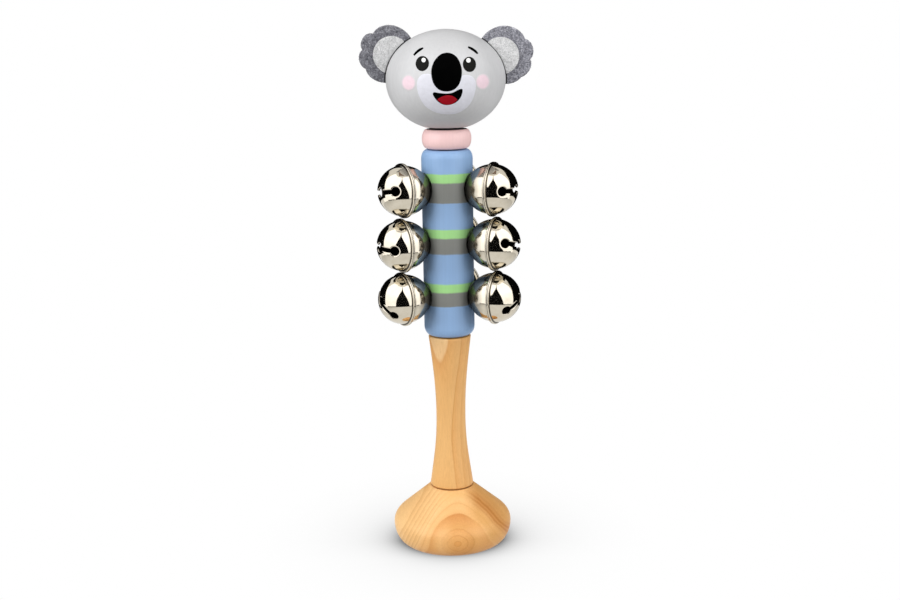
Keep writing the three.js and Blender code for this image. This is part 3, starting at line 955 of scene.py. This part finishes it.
def bell_inner_shape():
    deep = BELL_DEEP - BELL_WALL - SEAM_HALF
    out_angle = degrees(asin(NAIL_HOLE / BELL_R)) - 90
    in_angle = degrees(asin(NAIL_HOLE / BELL_INSIDE)) - 90
    outside = arc(0, 0, BELL_R, BELL_DEEP, out_angle, -INNER_DEG, 30)
    hollow = arc(0, -SEAM_HALF, BELL_INSIDE, deep, 0, in_angle, 26)
    # Painted shade: the outside darkens towards its tip by the body, the flange creases a little
    # and the hollow fully
    shares = [min(1, max(0, (-z / BELL_DEEP - 0.2) / 0.55)) for _, z in outside]
    bare = [0.95 * share ** 0.8 for share in shares]
    bare += [0.2 * row[2] for row in FLANGE] + [1] * len(hollow)
    profile = outside + [(r, -z) for r, z, _ in FLANGE] + hollow
    verts, faces = lathe(profile, BELL_SIDES, closed=True)
    return verts, faces, [share for share in bare for _ in range(BELL_SIDES)]


def pellet_shape(seed):
    ball = arc(0, 0, PELLET_R, PELLET_R, -90, 90, 20)[1:-1]
    verts, faces = lathe([(0, -PELLET_R), *ball, (0, PELLET_R)], 36)
    out = []
    for v in verts:
        dent = 0.035 * noise.fractal(Vector(v) * 0.9 + Vector((seed, 0, 0)), 1, 2, 2) - 0.035
        out.append(Vector(v) * (1 + dent / PELLET_R))
    return out, faces


def nail_shape(row):
    deep = BELL_DEEP - BELL_WALL
    under = NAIL_HEAD_GAP - deep * sqrt(1 - (NAIL_HEAD / BELL_INSIDE) ** 2)
    tip = NAIL_TIP - REACH[row]
    crown = [(NAIL_HEAD, under), (NAIL_HEAD, under + 0.35), (2.25, under + 0.6), (1.8, under + 0.8),
             (1, under + 0.88)]
    shank = [(0, tip), (NAIL_R, tip + 1.6), (NAIL_R, under - 0.1), (1.05, under)]
    return lathe([*shank, *crown, (0, under + 0.9)], 28)


# The part

BASE_YEARS = [
    (0, (232, 168, 92)), (8.2, (231, 167, 91)), (8.5, (221, 156, 81)), (8.8, (234, 174, 101)),
    (10.3, (230, 169, 95)), (10.6, (219, 155, 82)), (10.9, (230, 170, 97)), (12.3, (225, 163, 89)),
    (12.6, (215, 152, 78)), (12.9, (226, 167, 94)), (14.3, (224, 162, 90)), (16.2, (217, 151, 79)),
    (16.7, (211, 145, 73)), (17.1, (240, 187, 119)), (18.4, (245, 195, 129)),
    (19.7, (243, 190, 123)), (20.05, (232, 178, 110)), (20.4, (244, 193, 127)),
    (22.4, (247, 202, 140)),
]
for k in range(6):
    BASE_YEARS += [(23 + 1.8 * k, (230, 180, 114)), (23.3 + 1.8 * k, (247, 202, 138))]
HANDLE_PITH = (31, 41.1)
HANDLE_YEARS = [
    (-15, (240, 188, 116)), (-5.7, (232, 177, 105)), (-5.4, (242, 193, 125)),
    (-2.7, (232, 177, 105)), (-2.4, (242, 193, 125)), (0.1, (232, 176, 104)),
    (0.4, (239, 188, 118)), (2.9, (233, 177, 105)), (3.25, (222, 162, 90)), (3.45, (236, 187, 118)),
    (6.3, (233, 180, 109)), (7.2, (228, 170, 99)), (7.45, (244, 204, 147)), (9.5, (243, 202, 143)),
]
DOWEL_TONES = [(20, (238, 206, 158)), (21.6, (228, 190, 138)), (21.8, (208, 166, 112))]
DOWEL_YEARS = [(r + 2 * k, colour) for k in range(10) for r, colour in DOWEL_TONES]
base_wood = wood("base_wood", (2, 0), BASE_YEARS, 3, "Y", drift=1.6,
                 rings=base_arches, tone_and_shade=base_tone_and_shade)
handle_years = [(r + hypot(*HANDLE_PITH), colour) for r, colour in HANDLE_YEARS]
handle_wood = wood("handle_wood", HANDLE_PITH, handle_years, 7, lean=(0.0525, 77))
dowel_wood = wood("dowel_wood", (9, 30), DOWEL_YEARS, 11, tone_and_shade=dowel_joint_shade)
body_paint = lacquer("body_paint", bands, 2)
ring_paint = lacquer("ring_paint", ring_pink, 5)
head_paint = lacquer("head_paint", HEAD_GREY, 8, 0.38, 0.5, 0.035)
# The colour after the three greys darkens the left ear as painted shade
felt_dark = felt_cloth("felt_dark", (76, 76, 84), (143, 143, 152), (212, 212, 220),
                       (212, 212, 212), 4, slot_shade=True)
felt_light = felt_cloth("felt_light", (182, 182, 182), (224, 224, 224), (253, 253, 253),
                        (246, 246, 246), 6)
bell_metal = plated("bell_metal", (209, 201, 184), (198, 189, 170), 0.03, 0.07, 0.03)
pellet_steel = plated("pellet_steel", (168, 165, 160), (120, 116, 110), 0.25, 0.4, 0.05)
nail_steel = plated("nail_steel", (190, 186, 178), (140, 132, 122), 0.2, 0.35, 0.05)


def settle(obj, material, body, slot, *nodes):
    obj.data.materials.clear()
    obj.data.materials.append(material)
    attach(obj, body)
    if nodes:
        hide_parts(*nodes)


settle(base_piece(), base_wood, "stick", "base_wood", "base")
settle(handle_piece(), handle_wood, "stick", "handle_wood", "handle")
settle(body_piece(), body_paint, "stick", "body_paint", "body")
settle(ring_piece(), ring_paint, "stick", "ring_paint", "neck_ring")
settle(head_piece(), head_paint, "stick", "head_paint", "head")
for name in ("foot_dowel", "middle_dowel", "neck_dowel"):
    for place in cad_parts[name].material_slots:
        place.material = dowel_wood

for side, seed in (("left", 21), ("right", 57)):
    outer, patch, hair, down, sheet_area, patch_area = ear_pieces(side, seed)
    settle(outer, felt_dark, "stick", "felt_dark", "ear_outer_" + side)
    settle(patch, felt_light, "stick", "felt_light", "ear_inner_" + side)
    settle(hair, felt_dark, "stick", "felt_dark")
    settle(down, felt_light, "stick", "felt_light")

# Outlines of the printed face, across and up
NOSE = [
    (0.71, 198.14), (2.91, 197.54), (4.61, 195.98), (5.62, 193.67), (6, 191.36), (5.7, 188.8),
    (4.72, 186.5), (3.02, 184.87), (0.59, 184.24), (-2.03, 184.69), (-3.79, 186.12), (-4.85, 188.2),
    (-5.23, 191.03), (-4.88, 193.32), (-3.79, 195.61), (-1.67, 197.56),
]
MUZZLE = [
    (0.36, 175.6), (3.55, 175.8), (6.23, 176.94), (8.37, 178.67), (9.87, 181.05), (10.79, 183.68),
    (11.18, 186.29), (10.82, 188.13), (9.78, 189.46), (8.19, 190.02), (5.82, 189.83),
    (0.55, 188.65), (-4.92, 190.41), (-7.81, 190.63), (-9.41, 189.86), (-10.34, 188.46),
    (-10.65, 186.64), (-10.34, 184.02), (-9.35, 181.37), (-7.82, 178.95), (-5.47, 177.15),
    (-2.83, 176.03),
]
MOUTH = [
    (-4.35, 183.98), (-2.68, 183.75), (-0.84, 183.52), (1, 183.49), (2.85, 183.88),
    (4.28, 184.63), (5.49, 185.07), (6.12, 184.84), (6.06, 183.58), (5.46, 182.01), (4.23, 180.55),
    (2.53, 179.57), (0.57, 179.18), (-1.33, 179.48), (-3, 180.57), (-4.18, 182.02),
    (-4.79, 183.24),
]
TONGUE = [
    (-3.14, 181.27), (-1.65, 182.27), (0.36, 182.82), (2.46, 182.51), (4.03, 181.31),
    (3.59, 180.41), (2.26, 179.58), (0.57, 179.29), (-1.17, 179.64), (-2.32, 180.41),
]


def soft_edge(p, base):
    """Fades the cheeks into the head's own paint round their rim."""
    parts = p.axes()
    a = p.calc("DIVIDE", p.sub(p.calc("ABSOLUTE", parts[0]), 13.75), 2.5)
    b = p.calc("DIVIDE", p.sub(parts[2], 187.4), 2.72)
    return p.mix(p.span(p.hypot(a, b), 0, 1, 0.8, 1.1), base, lin(*HEAD_GREY))


black_ink = ink("black_ink", (2, 2, 2), 0.45, 0.55, 0.008)
eye_ink = ink("eye_ink", (23, 23, 21), 0.4, 0.5, 0.04)
white_ink = ink("white_ink", (252, 252, 250))
muzzle_ink = ink("muzzle_ink", (227, 227, 236))
cheek_ink = ink("cheek_ink", (244, 217, 226), blush=soft_edge)
tongue_ink = ink("tongue_ink", (160, 8, 27), specular=0.06)
brow = [0.3, 0.42, 0.46, 0.44, 0.26]
face = [
    ("muzzle", spline(MUZZLE), 0.04, muzzle_ink),
    ("cheek_left", oval(-13.69, 187.55, 2.9, 3.1), 0.03, cheek_ink),
    ("cheek_right", oval(13.82, 187.23, 2.9, 3.1), 0.03, cheek_ink),
    ("eye_left", oval(-8.5, 194.37, 2.45, 2.7, -12), 0.07, eye_ink),
    ("eye_right", oval(8.84, 193.8, 2.42, 2.72, 8), 0.07, eye_ink),
    ("shine_left", oval(-7.96, 195.59, 0.78, 0.8, 0, 32), 0.1, white_ink),
    ("shine_right", oval(8.5, 195.23, 0.83, 0.83, 0, 32), 0.1, white_ink),
    ("brow_left", stroke([(-11.63, 197.3), (-10.2, 199.1), (-8.1, 199.92)], brow), 0.07, black_ink),
    ("brow_right", stroke([(8.47, 199.98), (10.45, 199.3), (12.04, 197.54)], brow), 0.07,
     black_ink),
    ("nose", spline(NOSE), 0.09, black_ink),
    ("mouth", spline(MOUTH), 0.07, black_ink),
    ("tongue", spline(TONGUE), 0.1, tongue_ink),
]
for name, outline, lift, material in face:
    settle(print_on("face_" + name, outline, lift), material, "stick", "head_paint")

shells = (("outer", bell_outer_shape()), ("inner", bell_inner_shape()))
for column in COLUMN:
    for row, turn in zip(ROW_Z, BELL_TURN[column]):
        key = f"{column}_{row}"
        seat = bell_matrix(column, row)
        tipped = bell_matrix(column, row, BELL_TIP[column])
        turned = tipped @ Matrix.Rotation(radians(turn), 4, "Z")
        for part, (verts, faces, shade_mask) in shells:
            shell = make(f"bell_shell_{part}_{key}", moved(verts, turned), faces)
            # How much painted shade bell_metal puts on each point: the hollow, the creases and the
            # side towards the body
            shell.data.attributes.new("shade_mask", "FLOAT", "POINT").data.foreach_set("value", shade_mask)
            upright(shell, SHARP)
            settle(shell, bell_metal, "bell_" + key, "bell_metal", f"bell_{part}_{key}")
        verts, faces = pellet_shape(COLUMN[column] + ROW_Z[row])
        spot = seat @ Matrix.Translation((BELL_INSIDE - PELLET_R - PELLET_GAP, 0, 0))
        ball = make("pellet_ball_" + key, moved(verts, spot), faces)
        settle(ball, pellet_steel, "pellet_" + key, "pellet_steel", "pellet_" + key)
        verts, faces = nail_shape(row)
        pin = make("nail_pin_" + key, moved(verts, seat), faces)
        settle(pin, nail_steel, "stick", "nail_steel", "nail_" + key)


# Floor, light and camera

def floor_material():
    """White with a contact shadow for the camera, matt for light, dimmer far out for metal."""
    p = Paint("floor_white")
    rays = p.node("LightPath")
    x, y, _ = p.axes()
    near = p.span(p.hypot(x, y), 1, 0, 90, 240, interpolation_type="SMOOTHSTEP")
    front = p.span(y, 0.54, 1.1, -22, -4)
    open_sky = p.node("AmbientOcclusion", {"Distance": 0.06}, samples=24)["AO"]
    shade = p.sub(1, p.mul(p.mul(near, front), p.sub(1, open_sky)))
    seen = p.node("Emission", {"Color": WHITE, "Strength": shade})[0]
    matt = p.node("BsdfDiffuse", {"Color": lin(188, 189, 190)})[0]
    falloff = p.span(p.hypot(x, p.calc("MAXIMUM", y, 0)), 1, 0.7, 110, FLOOR_R)
    dimmed = p.node("Emission", {"Color": WHITE, "Strength": falloff})[0]
    mirrored = p.calc("ADD", rays["Is Glossy Ray"], rays["Is Transmission Ray"], clamp=True)
    first = p.node("MixShader", {0: rays["Is Camera Ray"], 1: matt, 2: seen})[0]
    return p.end(p.node("MixShader", {0: mirrored, 1: first, 2: dimmed}))


floor = make("floor", *lathe([(FLOOR_R * k, 0) for k in (1, 0.66, 0.33, 0)], 96))
floor.data.materials.append(floor_material())


def flag(name, verts, faces, colour, strength=1, lower=None):
    """A board that only polished surfaces show, dimmer at its foot where asked."""
    p = Paint(name)
    if lower:
        strength = p.span(p.axes()[2], lower, strength, 0, 1500)
    glow = p.node("Emission", {"Color": lin(*colour), "Strength": strength})
    board = make(name, verts, faces)
    board.data.materials.append(p.end(glow))
    board.visible_camera = board.visible_diffuse = board.visible_shadow = False


def standing(radius, edges):
    """A curved wall round the stick: bearings with lower and upper rise in degrees."""
    verts = []
    for bearing, low, high in edges:
        a = radians(bearing)
        for rise in (low, high):
            verts.append((radius * cos(a), radius * sin(a), EYE_Z + radius * tan(radians(rise))))
    return verts, [[2 * k, 2 * k + 2, 2 * k + 3, 2 * k + 1] for k in range(len(edges) - 1)]


gap = [
    (900, -760), (800, -315), (540, 380), (290, 950), (90, 1600), (40, 2300), (40, 3700),
    (-40, 3700), (-60, 2300), (-150, 1600), (-415, 950), (-650, 380), (-760, -125), (-850, -760),
]
flag("flag_front", [(x, -1300, z) for x, z in gap], [list(range(len(gap)))], BOARD_BLACK)
flag("flag_top", [(-450, -420, 2300), (450, -420, 2300), (450, 1300, 2300), (-450, 1300, 2300)],
     [[0, 1, 2, 3]], (150, 132, 122))
rises = [
    (-8, 5), (-5, 16), (5, 32), (14, 43), (45, 49), (72, 52), (95, 44), (108, 31), (118, 29),
    (128, 36), (141, 41), (155, 37), (166, 32), (174, 23), (180, 12), (183, 4),
]
flag("flag_back", *standing(1600, [(a, -20, rise) for a, rise in rises]), BOARD_BLACK)
flag("flag_sill", *standing(254, [(a, -31, -26.5) for a in range(195, 350, 10)]), (40, 36, 32))
for name, bearings in (("panel_left", range(163, 270, 8)), ("panel_right", range(-91, 0, 8))):
    panel = standing(2600, [(a, -40, 70) for a in bearings])
    flag(name, *panel, BOARD_WHITE, PANEL_GLOW, PANEL_FOOT)

studio = Paint("studio", bpy.data.worlds, "OutputWorld")
rays = studio.node("LightPath")
shown = studio.calc("ADD", rays["Is Camera Ray"], rays["Is Glossy Ray"])
shown = studio.calc("ADD", shown, rays["Is Transmission Ray"], clamp=True)
strength = studio.span(shown, AMBIENT, 1)
scene.world = studio.end(studio.node("Background", {"Color": WHITE, "Strength": strength}))


def softbox(name, spot, wide, tall, power):
    """A lamp aimed at the middle of the stick, which polished metal doesn't show."""
    light = bpy.data.lights.new(name, "AREA")
    light.shape = "RECTANGLE"
    light.size = wide
    light.size_y = tall
    light.energy = power
    lamp = link(name, light)
    lamp.location = spot
    lamp.visible_glossy = False
    lamp.rotation_euler = (Vector(LAMP_AIM) - Vector(spot)).to_track_quat("-Z", "Y").to_euler()


softbox("softbox_left", (-1.15, -0.85, 0.9), 1.1, 1.3, 22.5)
softbox("softbox_right", (1.25, -0.75, 0.75), 1.1, 1.3, 14.6)
softbox("fill_left", (-1.2, 0.6, 0.5), 1, 1, 1.5)
softbox("fill_right", (1.2, 0.6, 0.5), 1, 1, 2.6)

camera_data = bpy.data.cameras.new("camera")
camera_data.sensor_width = 36
camera_data.lens = 50.143
camera_data.clip_start = 0.01
camera = link("camera", camera_data)
camera.matrix_world = (Matrix.Translation(CAMERA_AT)
                       @ Matrix.Rotation(radians(90 - CAMERA_DOWN), 4, "X")
                       @ Matrix.Rotation(radians(CAMERA_ROLL), 4, "Z"))
scene.camera = camera
